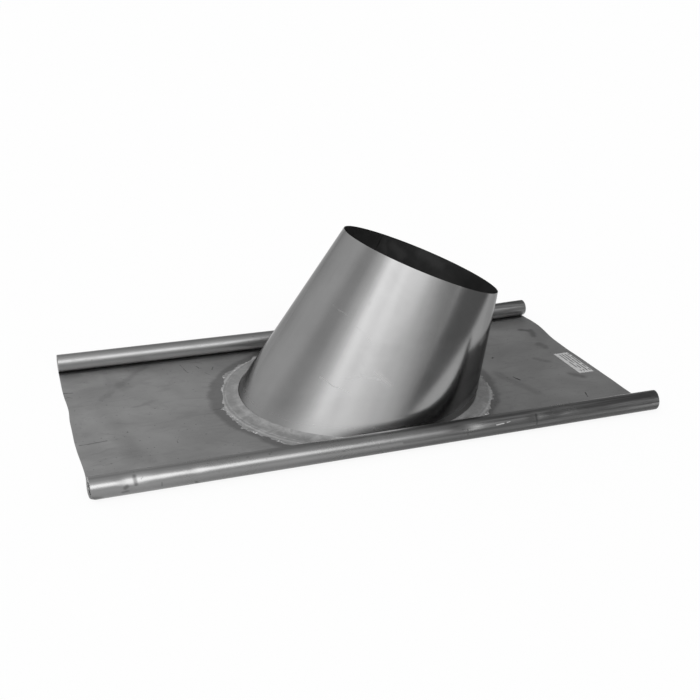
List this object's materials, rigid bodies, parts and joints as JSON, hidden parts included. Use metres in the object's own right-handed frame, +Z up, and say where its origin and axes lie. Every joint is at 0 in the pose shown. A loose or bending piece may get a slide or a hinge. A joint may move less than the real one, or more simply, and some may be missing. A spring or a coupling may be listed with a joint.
{
  "type": "roof flashing",
  "caption": "Leaning steel cone soldered to a flat lead apron with rolled-up sides, to seal a flue where it passes through a pitched roof.",
  "frame": {"origin": "centre of the apron's footprint, on its underside", "axes": "+X along the two rolls, towards the ridge of the roof and the way the cone leans; +Z up out of the apron"},
  "size_m": [1, 0.5112, 0.2991],
  "materials": {
    "stainless_sheet": "bright rolled",
    "lead_sheet": "dull grey, polished on the rolls",
    "solder": "matt wiped",
    "label_film": "matt"
  },
  "bodies": {
    "root": {"cone": "stainless_sheet", "lead_apron": "lead_sheet", "solder_seam": "solder", "label": "label_film"}
  },
  "joints": []
}
